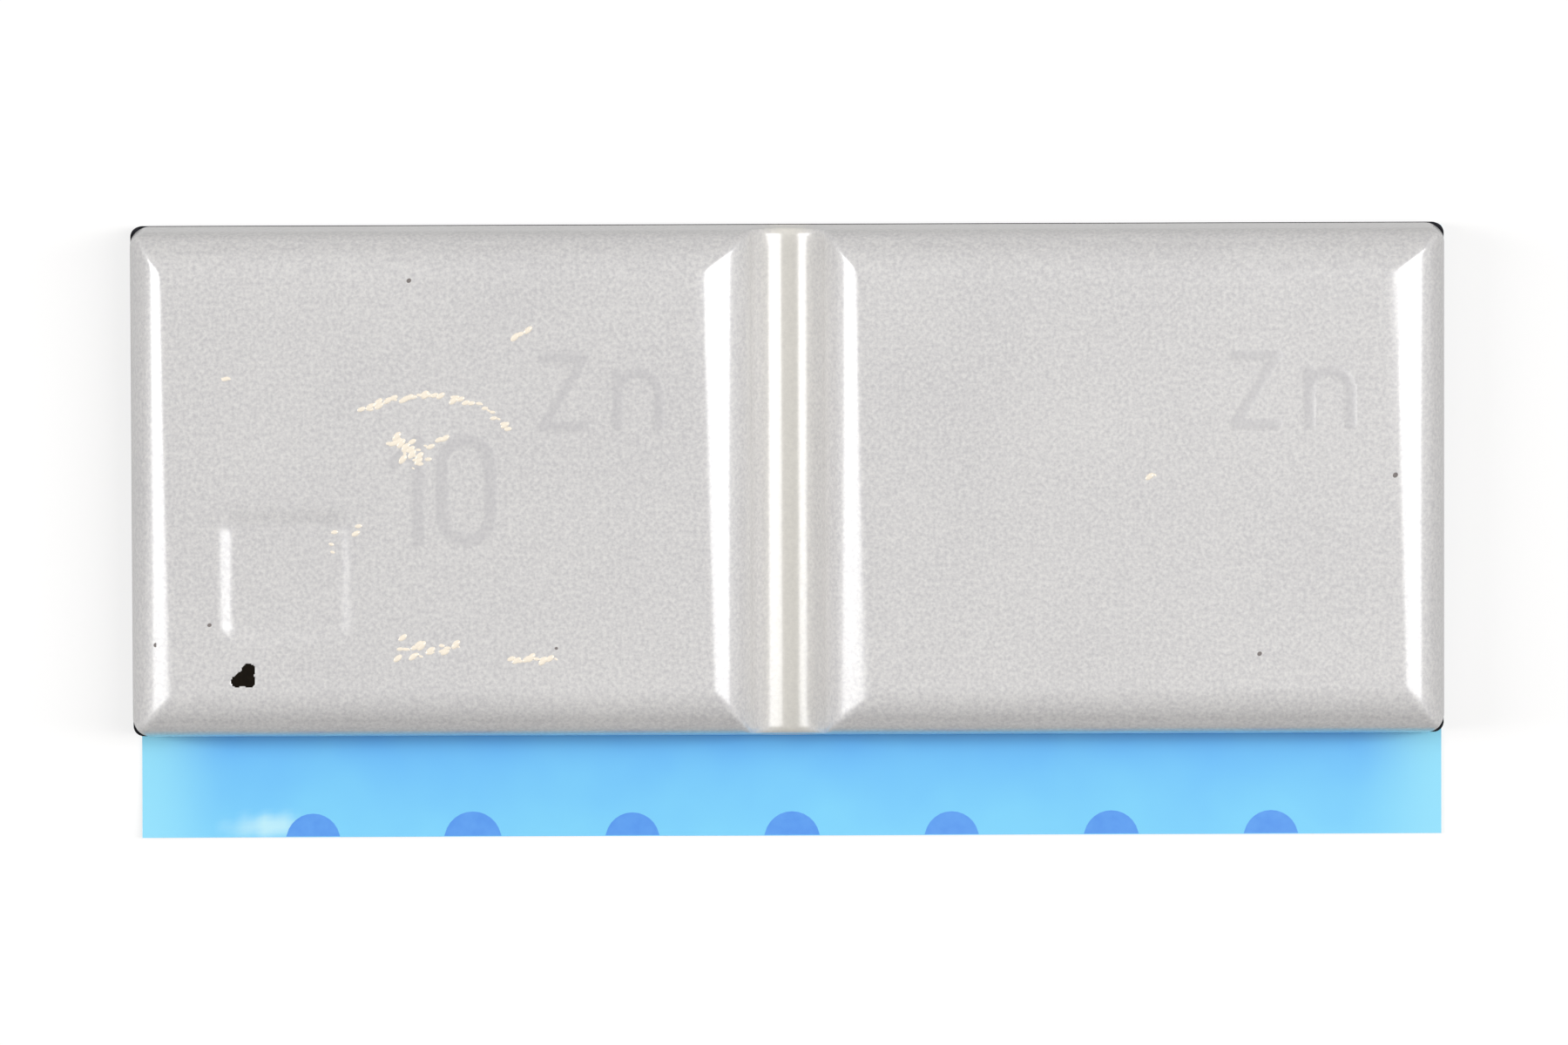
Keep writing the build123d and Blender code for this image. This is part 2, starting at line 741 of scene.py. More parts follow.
@dataclass(frozen=True)
class SunkPanel:
    """Blank square panel, pressed a little into the casting's top, with even flanks."""

    x: float = -14.6
    y: float = -2.65
    side: float = 3.5
    corner: float = 0.45
    depth: float = 0.08
    flank: float = 0.42
    # how far the flank's ends are eased
    ease: float = 0.09

    def drop(self, x: np.ndarray, y: np.ndarray) -> np.ndarray:
        """How far the panel lies below the top.

        Args:
            x: places along X.
            y: places along Y.

        Returns:
            Drop at each place.
        """
        reach = self.side / 2.0 - self.corner
        out_x, out_y = np.abs(x - self.x) - reach, np.abs(y - self.y) - reach
        outside = np.hypot(np.maximum(out_x, 0.0), np.maximum(out_y, 0.0))
        edge = outside + np.minimum(np.maximum(out_x, out_y), 0.0) - self.corner
        shifts = (-self.ease, 0.0, self.ease)
        shares = [np.clip(0.5 - (edge + shift) / self.flank, 0.0, 1.0) for shift in shifts]
        return self.depth * sum(shares) / len(shares)


@dataclass(frozen=True)
class Chip:
    """A spot where the enamel has flaked off, as a cluster of round lobes."""

    x: float
    y: float
    lobes: tuple[tuple[float, float, float], ...]
    depth: float
    edge: float = 0.1

    def cover(self, x: np.ndarray, y: np.ndarray) -> np.ndarray:
        """Share of bare metal.

        Args:
            x: places along X.
            y: places along Y.

        Returns:
            Share from 0 to 1 at each place.
        """
        inside = [radius - np.hypot(x - self.x - dx, y - self.y - dy) for dx, dy, radius in self.lobes]
        return smooth_step(np.maximum.reduce(inside), -self.edge / 2.0, self.edge / 2.0)


@dataclass(frozen=True)
class DropRun:
    """A run of tiny drops on the enamel, along a line of straight stretches."""

    line: tuple[Point, ...]
    count: int
    spread: float

    def places(self, draw: random.Random) -> list[tuple[float, float]]:
        """Scatters the run's drops along its line.

        Args:
            draw: the source of random numbers.

        Returns:
            Place of each drop along X and Y.
        """
        line = np.array(self.line)
        length = np.concatenate(([0.0], np.cumsum(np.hypot(*np.diff(line, axis=0).T))))
        found = []
        for k in range(self.count):
            at = (k + 0.5) / self.count * length[-1]
            x, y = (float(np.interp(at, length, line[:, axis])) for axis in (0, 1))
            found.append((x + draw.gauss(0.0, self.spread), y + draw.gauss(0.0, self.spread)))
        return found


@dataclass
class ZincCasting:
    """The cast row of two segments, with its enamel, its marks and its chips."""

    low: Vector
    high: Vector
    finish: GlossEnamel
    bare: BareZinc
    grime: BareZinc
    lacquer: LacquerDrop
    corner_radius: float = 0.58
    web_edge: float = 0.25
    # sideways shift of the crowns, per millimetre along Y, from a die that closes a little askew
    crown_skew: float = 0.03
    # how much tighter the crown of the left end is
    left_tightening: float = 0.2
    # how sharply two crowns meet along a mitre: a higher power is sharper
    mitre_power: float = 9.0
    fine_step: float = 0.07
    chip_step: float = 0.035
    chip_reach: float = 0.5
    coarse_step: float = 0.3
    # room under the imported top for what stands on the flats
    top_relief: float = 0.035
    foot_steps: int = 4
    swell_size: float = 5.0
    swell_height: float = 0.008
    swell_seed: float = 3.7
    panel: SunkPanel = SunkPanel()
    chips: tuple[Chip, ...] = (
        Chip(-15.85, -5.52, lobes=(
            (-0.2, -0.18, 0.17), (-0.04, -0.1, 0.22), (0.15, 0.15, 0.2), (0.15, -0.16, 0.2)), depth=0.02),
    )
    mark_height: float = 0.009
    mark_flank: float = 0.26
    mark_grid: float = 0.04
    mark_sink: float = 0.003
    marks: tuple[RaisedMark, ...] = (
        RaisedMark(Glyph.ONE, -11.45, -1.6, 0.7, 2.9, 0.42),
        RaisedMark(Glyph.ZERO, -10.05, -1.6, 1.4, 2.9, 0.42),
        RaisedMark(Glyph.CAPITAL_Z, -7.1, 1.7, 1.2, 2.0, 0.34),
        RaisedMark(Glyph.SMALL_N, -4.95, 1.7, 1.2, 1.55, 0.34),
        RaisedMark(Glyph.CAPITAL_Z, 13.0, 1.7, 1.2, 2.0, 0.34),
        RaisedMark(Glyph.SMALL_N, 15.15, 1.7, 1.2, 1.55, 0.34),
    )
    drop_radius: float = 0.075
    drop_flatness: float = 0.28
    drop_stretch: float = 1.9
    drop_segments: int = 14
    drop_rings: int = 8
    # smallest and largest size of a drop, and of its turn in radians
    drop_sizes: Point = (0.4, 1.2)
    drop_turns: Point = (-0.5, 0.9)
    speck_radius: float = 0.06
    speck_flatness: float = 0.1
    speck_stretch: float = 1.2
    drop_seed: int = 11
    drops: tuple[DropRun, ...] = (
        DropRun(((-12.37, 2.17), (-11.5, 2.5), (-10.24, 2.63), (-8.97, 2.38), (-8.09, 1.57)), 34, 0.06),
        DropRun(((-11.5, 1.3), (-10.7, 0.65)), 28, 0.12),
        DropRun(((-10.6, 1.0), (-9.9, 1.4)), 4, 0.05),
        DropRun(((-16.35, 3.13), (-16.25, 3.13)), 3, 0.03),
        DropRun(((-8.05, 4.25), (-7.45, 4.5)), 3, 0.05),
        DropRun(((-12.6, -1.45), (-12.35, -1.2)), 2, 0.05),
        DropRun(((-13.25, -1.2), (-13.25, -2.1)), 3, 0.05),
        DropRun(((-11.4, -4.8), (-9.7, -4.72)), 22, 0.1),
        DropRun(((-8.1, -5.06), (-6.7, -5.12)), 10, 0.04),
        DropRun(((10.4, 0.3), (10.7, 0.25)), 2, 0.05),
    )
    specks: tuple[Point, ...] = (
        (-16.83, -4.05), (-6.75, -4.76), (-18.4, -4.63), (17.65, 0.2), (-10.98, 5.95), (13.7, -4.99),
    )

    def __post_init__(self) -> None:
        """Works out the casting's half sizes and sections, in millimetres, from its packed box."""
        self.half_x, self.half_y = self.high.x / MM, self.high.y / MM
        self.foot_z = self.low.z / MM
        self.thickness = (self.high.z - self.low.z) / MM
        self.wall = WallSection(self.thickness)
        self.groove = GrooveSection(self.thickness)

    def grid_lines(self) -> tuple[np.ndarray, np.ndarray]:
        """Places of the grid lines along X and along Y."""
        edge = self.wall.lines()
        mouth = self.groove.lines()
        reach = self.panel.side / 2.0 + self.panel.flank
        panel_x = (self.panel.x - reach, self.panel.x + reach)
        panel_y = (self.panel.y - reach, self.panel.y + reach)
        chips_x = [(chip.x - self.chip_reach, chip.x + self.chip_reach) for chip in self.chips]
        chips_y = [(chip.y - self.chip_reach, chip.y + self.chip_reach) for chip in self.chips]
        flat_end = self.half_x - self.wall.crown_end
        spans_x = [(panel_x, self.fine_step), *((span, self.chip_step) for span in chips_x)]
        spans_y = [(panel_y, self.fine_step), *((span, self.chip_step) for span in chips_y)]
        left = graded_lines(-flat_end, -self.groove.mouth, spans_x, self.coarse_step)
        right = graded_lines(self.groove.mouth, flat_end, [], self.coarse_step)
        flat_side = self.half_y - self.wall.crown_end
        middle = graded_lines(-flat_side, flat_side, spans_y, self.coarse_step)
        x = np.concatenate((
            edge - self.half_x, left[1:], -mouth[-2:0:-1], mouth[:-1], right[:-1], self.half_x - edge[::-1]))
        y = np.concatenate((edge - self.half_y, middle[1:-1], self.half_y - edge[::-1]))
        return x, y

    def round_corners(self, x: np.ndarray, y: np.ndarray) -> tuple[np.ndarray, np.ndarray]:
        """Bends the grid's square corners to the casting's round ones.

        Args:
            x: places along X.
            y: places along Y.

        Returns:
            The bent places.
        """
        radius = self.corner_radius
        across = np.clip((np.abs(x) - self.half_x + radius) / radius, 0.0, 1.0)
        along = np.clip((np.abs(y) - self.half_y + radius) / radius, 0.0, 1.0)
        pull_x = radius * across * (1.0 - np.sqrt(1.0 - along ** 2 / 2.0))
        pull_y = radius * along * (1.0 - np.sqrt(1.0 - across ** 2 / 2.0))
        return x - np.sign(x) * pull_x, y - np.sign(y) * pull_y

    def corner_inset(self, x: np.ndarray, y: np.ndarray) -> np.ndarray:
        """Inset from the outline's round corners, and a large number away from them.

        Args:
            x: places along X.
            y: places along Y.

        Returns:
            Inset at each place.
        """
        over_x = np.abs(x) - self.half_x + self.corner_radius
        over_y = np.abs(y) - self.half_y + self.corner_radius
        inset = self.corner_radius - np.hypot(over_x, over_y)
        return np.where((over_x > 0.0) & (over_y > 0.0), np.maximum(inset, 0.0), self.half_x)

    def row_height(self, x: np.ndarray) -> np.ndarray:
        """Height of the row of segments seen from the front, by the place along X."""
        return np.minimum(self.wall.height(self.half_x - np.abs(x)), self.groove.height(np.abs(x)))

    def body_height(self, x: np.ndarray, y: np.ndarray) -> np.ndarray:
        """Height of the bare casting over its foot.

        Args:
            x: places along X.
            y: places along Y.

        Returns:
            Height at each place.
        """
        inset_y = self.half_y - np.abs(y)
        outer = smooth_step(self.half_x - np.abs(x), self.wall.crown_start[0], self.wall.crown_end)
        inner = smooth_step(np.abs(x), self.groove.crown_start[0], self.groove.mouth)
        shift = self.crown_skew * y + self.left_tightening * (x < -self.half_x / 2.0)
        row = self.row_height(x + shift * np.minimum(outer, inner))
        start, height = self.wall.wall_start
        edge_start = start + (self.groove.web - self.web_edge - height) * math.tan(self.wall.lean)
        short = np.clip(self.web_edge - (inset_y - edge_start), 0.0, self.web_edge)
        row = row - (self.web_edge - np.sqrt(self.web_edge ** 2 - short ** 2))
        drop_row, drop_side = self.thickness - row, self.thickness - self.wall.height(inset_y)
        power = self.mitre_power
        drop = (drop_row ** power + drop_side ** power) ** (1.0 / power)
        drop_corner = self.thickness - self.wall.wall_height(self.corner_inset(x, y))
        return np.maximum(self.thickness - np.maximum(drop, drop_corner), self.wall.foot)

    def top_height(self, x: np.ndarray, y: np.ndarray) -> np.ndarray:
        """Height of the enamelled casting over its foot, with its sunk panel, chips and slow swells.

        Args:
            x: places along X.
            y: places along Y.

        Returns:
            Height at each place.
        """
        body = self.body_height(x, y)
        level = smooth_step(body, self.wall.foot, self.thickness)
        swell = self.swell_height * soft_noise(x, y, self.swell_size, self.swell_seed) - self.top_relief
        chips = sum(chip.depth * chip.cover(x, y) for chip in self.chips)
        return body + level * swell - self.panel.drop(x, y) - chips

    def outline(self, across: int, along: int) -> list[int]:
        """Point numbers round the grid's edge, counter-clockwise seen from above.

        Args:
            across: number of grid lines along X.
            along: number of grid lines along Y.

        Returns:
            The point numbers in order.
        """
        front = [i * along for i in range(across)]
        right = [(across - 1) * along + j for j in range(1, along)]
        back = [i * along + along - 1 for i in range(across - 2, -1, -1)]
        left = list(range(along - 2, 0, -1))
        return front + right + back + left

    def outward(self, x: np.ndarray, y: np.ndarray) -> np.ndarray:
        """Unit vectors that point out of the outline.

        Args:
            x: places of the outline's points along X.
            y: places of the outline's points along Y.

        Returns:
            One row for each point.
        """
        over_x = np.maximum(np.abs(x) - self.half_x + self.corner_radius, 0.0) * np.sign(x)
        over_y = np.maximum(np.abs(y) - self.half_y + self.corner_radius, 0.0) * np.sign(y)
        length = np.hypot(over_x, over_y)
        return np.stack((over_x / length, over_y / length), axis=1)

    def build_body(self, material: bpy.types.Material, bare: bpy.types.Material) -> bpy.types.Object:
        """Builds the casting as a fine height grid, closed by the round of its foot and a flat underside.

        Args:
            material: the enamel.
            bare: the metal that its chips lay open.

        Returns:
            The finished piece.
        """
        lines_x, lines_y = self.grid_lines()
        across, along = len(lines_x), len(lines_y)
        x, y = self.round_corners(*np.meshgrid(lines_x, lines_y, indexing="ij"))
        z = self.foot_z + self.top_height(x, y)
        top = np.stack((x.ravel(), y.ravel(), z.ravel()), axis=1)
        faces = grid_quads(across, along).tolist()
        ring = self.outline(across, along)
        rim = top[ring]
        away = self.outward(rim[:, 0], rim[:, 1])
        points = [top]
        for turn in np.linspace(0.0, math.pi / 2.0, self.foot_steps + 1)[1:]:
            plan = rim[:, :2] - away * self.wall.foot * (1.0 - math.cos(turn))
            level = np.full(len(ring), self.foot_z + self.wall.foot * (1.0 - math.sin(turn)))
            points.append(np.column_stack((plan, level)))
            first = sum(len(block) for block in points[:-1])
            lower = list(range(first, first + len(ring)))
            for k in range(len(ring)):
                following = (k + 1) % len(ring)
                faces.append([ring[k], lower[k], lower[following], ring[following]])
            ring = lower
        faces.append(ring[::-1])
        piece = mesh_piece("zinc_casting_body", np.concatenate(points), faces, material)
        piece.data.materials.append(bare)
        cover = np.maximum.reduce([chip.cover(x, y) for chip in self.chips])
        chipped = (cover[:-1, :-1] + cover[1:, :-1] + cover[1:, 1:] + cover[:-1, 1:]).ravel() > 2.0
        slots = np.zeros(len(faces), dtype=np.int32)
        slots[:len(chipped)] = chipped
        piece.data.polygons.foreach_set("material_index", slots)
        # painted light: lighter on the groove's floor, offsetting the shade cast by its walls
        groove_light = np.zeros(sum(len(block) for block in points))
        groove_light[:x.size] = smooth_step(np.abs(x), self.groove.wall_start[0], self.groove.floor_flat).ravel()
        add_attribute(piece, "groove_light", groove_light)
        settle(piece, Slot.ZINC, CadNode.CASTING)
        return piece

    def build_marks(self, material: bpy.types.Material) -> bpy.types.Object:
        """Builds the raised figures and letters as low soft-flanked strokes that rise out of the top.

        Args:
            material: the enamel.

        Returns:
            The finished piece.
        """
        points, faces, tint, count = [], [], [], 0
        for mark in self.marks:
            reach = mark.stroke / 2.0 + self.mark_flank
            lines_x = np.arange(mark.x - reach, mark.x + mark.width + reach, self.mark_grid)
            lines_y = np.arange(mark.y - reach, mark.y + mark.height + reach, self.mark_grid)
            x, y = np.meshgrid(lines_x, lines_y, indexing="ij")
            edge = mark.distance(x, y)
            rise = self.mark_height * smooth_step(edge, self.mark_flank / 2.0, -self.mark_flank / 2.0)
            top = self.top_height(x, y) - self.mark_sink + rise
            quads = grid_quads(*x.shape)
            quads = quads[(rise.ravel()[quads] > 0.0).any(axis=1)]
            used, quads = np.unique(quads, return_inverse=True)
            block = np.stack((x.ravel(), y.ravel(), self.foot_z + top.ravel()), axis=1)[used]
            points.append(block)
            # share of the stroke grey at each point, full on the stroke's top
            tint.append(smooth_step(rise.ravel()[used], self.mark_sink, self.mark_height))
            faces.extend((quads.reshape(-1, 4) + count).tolist())
            count += len(block)
        piece = mesh_piece("raised_marks", np.concatenate(points), faces, material)
        add_attribute(piece, "thin", np.concatenate(tint))
        settle(piece, Slot.ZINC)
        return piece

    def drop_tree(self) -> bpy.types.NodeTree:
        """Builds the node tree that sets a low drop on each point of a mesh and returns it."""
        tree = bpy.data.node_groups.new("lacquer_drops", "GeometryNodeTree")
        add_inputs(tree, "Geometry", "Places")
        add_inputs(tree, "Float", "Radius", "Flatness", "Stretch")
        add_inputs(tree, "Int", "Seed")
        add_inputs(tree, "Material", "Finish")
        tree.interface.new_socket("Drops", in_out="OUTPUT", socket_type="NodeSocketGeometry")
        given = add_node(tree, "NodeGroupInput").outputs
        ball = add_node(tree, "GeometryNodeMeshUVSphere", {
            "Segments": self.drop_segments, "Rings": self.drop_rings, "Radius": given["Radius"]})
        place = add_node(tree, "GeometryNodeInputPosition").outputs[0]
        level = add_node(tree, "ShaderNodeSeparateXYZ", {0: place}).outputs["Z"]
        lower = add_node(tree, "FunctionNodeCompare", {0: level, 1: -1e-9}, operation="LESS_THAN")
        dome = add_node(tree, "GeometryNodeDeleteGeometry", {
            "Geometry": ball.outputs[0], "Selection": lower.outputs[0]})
        shape = add_node(tree, "ShaderNodeCombineXYZ", {
            "X": given["Stretch"], "Y": 1.0, "Z": given["Flatness"]})
        low = add_node(tree, "GeometryNodeTransform", {
            "Geometry": dome.outputs[0], "Scale": shape.outputs[0]})
        size = add_node(tree, "FunctionNodeRandomValue", {
            2: self.drop_sizes[0], 3: self.drop_sizes[1], "Seed": given["Seed"]}, data_type="FLOAT")
        turn = add_node(tree, "FunctionNodeRandomValue", {
            2: self.drop_turns[0], 3: self.drop_turns[1], "Seed": given["Seed"]}, data_type="FLOAT")
        turned = add_node(tree, "ShaderNodeCombineXYZ", {"Z": turn.outputs[1]})
        set_out = add_node(tree, "GeometryNodeInstanceOnPoints", {
            "Points": given["Places"], "Instance": low.outputs[0], "Scale": size.outputs[1],
            "Rotation": turned.outputs[0]})
        loose = add_node(tree, "GeometryNodeRealizeInstances", {"Geometry": set_out.outputs[0]})
        coated = add_node(tree, "GeometryNodeSetMaterial", {
            "Geometry": loose.outputs[0], "Material": given["Finish"]})
        add_node(tree, "NodeGroupOutput", {"Drops": coated.outputs[0]})
        return tree

    def build_drops(self, name: str, plan: np.ndarray, inputs: dict) -> bpy.types.Object:
        """Sets tiny drops on the top of the casting.

        Args:
            name: the piece's name.
            plan: place of each drop along X and Y, one row each.
            inputs: values for the node tree that shapes the drops.

        Returns:
            The finished piece.
        """
        level = self.foot_z + self.top_height(plan[:, 0], plan[:, 1])
        piece = mesh_piece(name, np.column_stack((plan, level)), [], inputs["Finish"])
        grow(piece, self.drop_tree(), {"Seed": self.drop_seed, **inputs})
        piece.data.shade_smooth()
        settle(piece, Slot.ZINC)
        return piece

    def build(self) -> None:
        """Builds and dresses the casting, its marks, its drops of lacquer and its specks of dirt."""
        enamel, bare = self.finish.material(), self.bare.material()
        self.build_body(enamel, bare)
        self.build_marks(enamel)
        draw = random.Random(self.drop_seed)
        drops = np.array([place for run in self.drops for place in run.places(draw)])
        # the drops' near-white colour is a painted highlight; their domes also catch the lamps
        self.build_drops("lacquer_drops", drops, {
            "Radius": self.drop_radius * MM, "Flatness": self.drop_flatness, "Stretch": self.drop_stretch,
            "Finish": self.lacquer.material()})
        self.build_drops("dirt_specks", np.array(self.specks), {
            "Radius": self.speck_radius * MM, "Flatness": self.speck_flatness, "Stretch": self.speck_stretch,
            "Finish": self.grime.material()})


@dataclass
class FoamTape:
    """The strip of foam tape under the casting, with small round corners and cut, open-celled sides."""

    low: Vector
    high: Vector
    finish: CutFoam
    corner: float = 0.3
    corner_steps: int = 8
    step: float = 0.12
    rows: int = 8
    cell: float = 0.16
    pit_depth: float = 0.035
    # distance from a cell's middle, in cells, at which its pit starts and at which it is deepest
    pit_rim: float = 0.55
    pit_bottom: float = 0.1

    def rim(self) -> tuple[np.ndarray, np.ndarray]:
        """Points round the strip, counter-clockwise, with the direction out of it at each."""
        radius = self.corner
        low, high = np.array(self.low) / MM + radius, np.array(self.high) / MM - radius
        middles = np.array([(high[0], low[1]), (high[0], high[1]), (low[0], high[1]), (low[0], low[1])])
        plan, away = [], []
        for k, middle in enumerate(middles):
            for turn in np.linspace(k - 1.0, k, self.corner_steps + 1) * math.pi / 2.0:
                away.append((math.cos(turn), math.sin(turn)))
                plan.append(middle + radius * np.array(away[-1]))
            start, out = plan[-1], away[-1]
            run = middles[(k + 1) % 4] - middle
            count = round(np.abs(run).sum() / self.step)
            plan.extend(start + run * share for share in np.arange(1, count) / count)
            away.extend([out] * (count - 1))
        return np.array(plan), np.array(away)

    def pits(self, points: np.ndarray) -> np.ndarray:
        """Depth of the open cells in the cut side.

        Args:
            points: points of the side in millimetres.

        Returns:
            Depth at each point.
        """
        near = np.array([noise.voronoi(Vector(point) / self.cell)[0][0] for point in points])
        return self.pit_depth * smooth_step(near, self.pit_rim, self.pit_bottom)

    def build(self) -> None:
        """Builds and dresses the tape."""
        plan, away = self.rim()
        low, high = self.low.z / MM, self.high.z / MM
        around = len(plan)
        blocks = []
        for row in range(self.rows + 1):
            level = np.full((around, 1), low + (high - low) * row / self.rows)
            side = np.hstack((plan, level))
            inner = 0.0 if row in (0, self.rows) else 1.0
            side[:, :2] -= away * self.pits(side)[:, None] * inner
            blocks.append(side)
        faces = []
        for row in range(self.rows):
            for k in range(around):
                following = (k + 1) % around
                base = row * around
                faces.append([base + k, base + following, base + around + following, base + around + k])
        faces.append(list(range(around))[::-1])
        faces.append(list(range(self.rows * around, (self.rows + 1) * around)))
        piece = mesh_piece("foam_tape_strip", np.concatenate(blocks), faces, self.finish.material())
        piece.data.set_sharp_from_angle(angle=SHARP_ANGLE)
        settle(piece, Slot.FOAM, CadNode.TAPE)


@dataclass
class ReleaseLiner:
    """The film over the tape's lower face: flat where it is stuck, and a little alive along its pull tab."""

    low: Vector
    high: Vector
    tape_low: Vector
    finish: ReleaseFilm
    ink: BlueInk
    thickness: float = 0.095
    ink_thickness: float = 0.003
    step: float = 0.3
    hidden_step: float = 1.0
    lift: float = 0.1
    # waves of the free edge, in radians per millimetre, and where they start
    wave_rate: float = 0.35
    wave_start: float = 1.1
    beat_rate: float = 0.13
    curl: float = 0.14
    curl_reach: float = 5.0
    # how far in from each cut end the painted reflection reaches
    end_reflection_reach: float = 2.8
    # how fast the painted shade beside the tape gives way to the film's own tone: a lower power is faster
    paling_power: float = 0.32
    # painted sheen at the free edge, a highlight off the lifted film: its middle and its half sizes
    painted_sheen: tuple[float, float, float, float] = (-15.4, -10.15, 0.8, 0.32)
    sheen_grain: float = 0.5
    sheen_seed: float = 8.2
    sheen_unevenness: float = 0.7
    # distance from the spot's middle, in half sizes, at which it starts and at which it is full
    sheen_start: float = 1.7
    sheen_full: float = 0.1
    dot_radius: float = 0.8
    dot_pitch: float = 4.7
    row_spacing: float = 4.2
    dot_edge_offset: float = -0.1
    dot_margin: float = 4.9
    dot_sides: int = 28
    # smallest and largest size of a dot
    dot_sizes: Point = (0.93, 1.05)
    dot_seed: int = 5
    # bare strip between a cut dot and the film's edge
    edge_trim: float = 0.02
    # distance from which dots are laid on the film, and how far they look for it
    lay_start: float = 10.0
    lay_reach: float = 20.0

    def __post_init__(self) -> None:
        """Works out the film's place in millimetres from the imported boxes."""
        self.left, self.right = self.low.x / MM, self.high.x / MM
        self.front, self.back = self.low.y / MM, self.high.y / MM
        self.tab_start = self.tape_low.y / MM
        self.rest_z = self.high.z / MM - self.thickness

    def reach(self, y: np.ndarray) -> np.ndarray:
        """Share of the way from the tape to the tab's free edge, zero under the tape."""
        return np.clip((self.tab_start - y) / (self.tab_start - self.front), 0.0, 1.0)

    def rise(self, x: np.ndarray, y: np.ndarray) -> np.ndarray:
        """How far the film stands off the surface below it.

        Args:
            x: places along X.
            y: places along Y.

        Returns:
            Rise at each place.
        """
        reach = self.reach(y)
        wave = 0.5 + 0.5 * np.sin(x * self.wave_rate + self.wave_start) * np.cos(x * self.beat_rate)
        curl = np.exp(-(x - self.left) / self.curl_reach)
        return reach ** 2 * (self.lift * wave + self.curl * curl)

    def build_film(self, material: bpy.types.Material) -> bpy.types.Object:
        """Builds the film as a thin closed sheet.

        Args:
            material: the film's finish.

        Returns:
            The finished piece.
        """
        lines_x = graded_lines(self.left, self.right, [], self.step)
        tab = ((self.front, self.tab_start), self.step / 2.0)
        lines_y = graded_lines(self.front, self.back, [tab], self.hidden_step)
        x, y = np.meshgrid(lines_x, lines_y, indexing="ij")
        z = self.rest_z + self.rise(x, y)
        lower = np.stack((x.ravel(), y.ravel(), z.ravel()), axis=1)
        upper = lower + (0.0, 0.0, self.thickness)
        across, along = x.shape
        count = across * along
        number = np.arange(count).reshape(across, along)
        quads = grid_quads(across, along)
        faces = (quads + count).tolist() + quads[:, ::-1].tolist()
        ring = [*number[:, 0], *number[-1, 1:], *number[-2::-1, -1], *number[0, -2:0:-1]]
        for start, end in zip(ring, ring[1:] + ring[:1]):
            faces.append([int(start), int(end), int(end + count), int(start + count)])
        piece = mesh_piece("release_film", np.concatenate((lower, upper)), faces, material)
        piece.data.set_sharp_from_angle(angle=SHARP_ANGLE)
        # painted shade: deepest beside the tape, fading out along the tab
        reach = np.tile(self.reach(y).ravel(), 2)
        # painted reflection: paler towards the film's cut ends
        end = np.minimum(x - self.left, self.right - x)
        rim = np.tile(smooth_step(end, self.end_reflection_reach, 0.0).ravel(), 2)
        add_attribute(piece, "reach", reach ** self.paling_power)
        add_attribute(piece, "rim", rim)
        # painted sheen: a whitened spot where the lifted film catches the light
        middle_x, middle_y, half_x, half_y = self.painted_sheen
        away = np.hypot((x - middle_x) / half_x, (y - middle_y) / half_y)
        away = away + self.sheen_unevenness * soft_noise(x, y, self.sheen_grain, self.sheen_seed)
        painted_sheen = smooth_step(away, self.sheen_start, self.sheen_full)
        add_attribute(piece, "painted_sheen", np.tile(painted_sheen.ravel(), 2))
        settle(piece, Slot.FILM, CadNode.LINER)
        return piece

    def dot_tree(self) -> bpy.types.NodeTree:
        """Builds the node tree that lays staggered rows of dots on a film and returns it."""
        tree = bpy.data.node_groups.new("printed_dots", "GeometryNodeTree")
        add_inputs(tree, "Geometry", "Film")
        add_inputs(tree, "Float", "Pitch", "Row Spacing", "Radius", "Front Edge", "Start X", "Start Y")
        add_inputs(tree, "Float", "Side", "Ink Thickness")
        add_inputs(tree, "Int", "Columns", "Rows", "Seed")
        add_inputs(tree, "Material", "Ink")
        tree.interface.new_socket("Dots", in_out="OUTPUT", socket_type="NodeSocketGeometry")
        given = add_node(tree, "NodeGroupInput").outputs
        return self.link_dots(tree, given)

    def link_dots(self, tree: bpy.types.NodeTree, given: bpy.types.NodeOutputs) -> bpy.types.NodeTree:
        """Links the nodes that place the dots, cut them at the film's edge and lay them on its face.

        Args:
            tree: the tree with its inputs.
            given: the sockets of those inputs.

        Returns:
            The finished tree.
        """
        row_start = add_node(tree, "ShaderNodeCombineXYZ", {"X": given["Start X"], "Y": given["Start Y"]})
        column_step = add_node(tree, "ShaderNodeCombineXYZ", {"X": given["Pitch"]})
        row_step = add_node(tree, "ShaderNodeCombineXYZ", {"Y": given["Row Spacing"]})
        rows = add_node(tree, "GeometryNodeMeshLine", {
            "Count": given["Rows"], "Start Location": row_start.outputs[0], "Offset": row_step.outputs[0]})
        columns = add_node(tree, "GeometryNodeMeshLine", {
            "Count": given["Columns"], "Offset": column_step.outputs[0]})
        number = add_node(tree, "GeometryNodeInputIndex").outputs[0]
        odd = add_node(tree, "ShaderNodeMath", {0: number, 1: 2.0}, operation="MODULO")
        stagger = scaled(tree, scaled(tree, odd.outputs[0], given["Pitch"]), 0.5)
        stagger_step = add_node(tree, "ShaderNodeCombineXYZ", {"X": stagger})
        staggered = add_node(tree, "GeometryNodeSetPosition", {
            "Geometry": rows.outputs[0], "Offset": stagger_step.outputs[0]})
        field = add_node(tree, "GeometryNodeInstanceOnPoints", {
            "Points": staggered.outputs[0], "Instance": columns.outputs[0]})
        places = add_node(tree, "GeometryNodeRealizeInstances", {"Geometry": field.outputs[0]})
        disc = add_node(tree, "GeometryNodeMeshCircle", {
            "Vertices": self.dot_sides, "Radius": given["Radius"]}, fill_type="NGON")
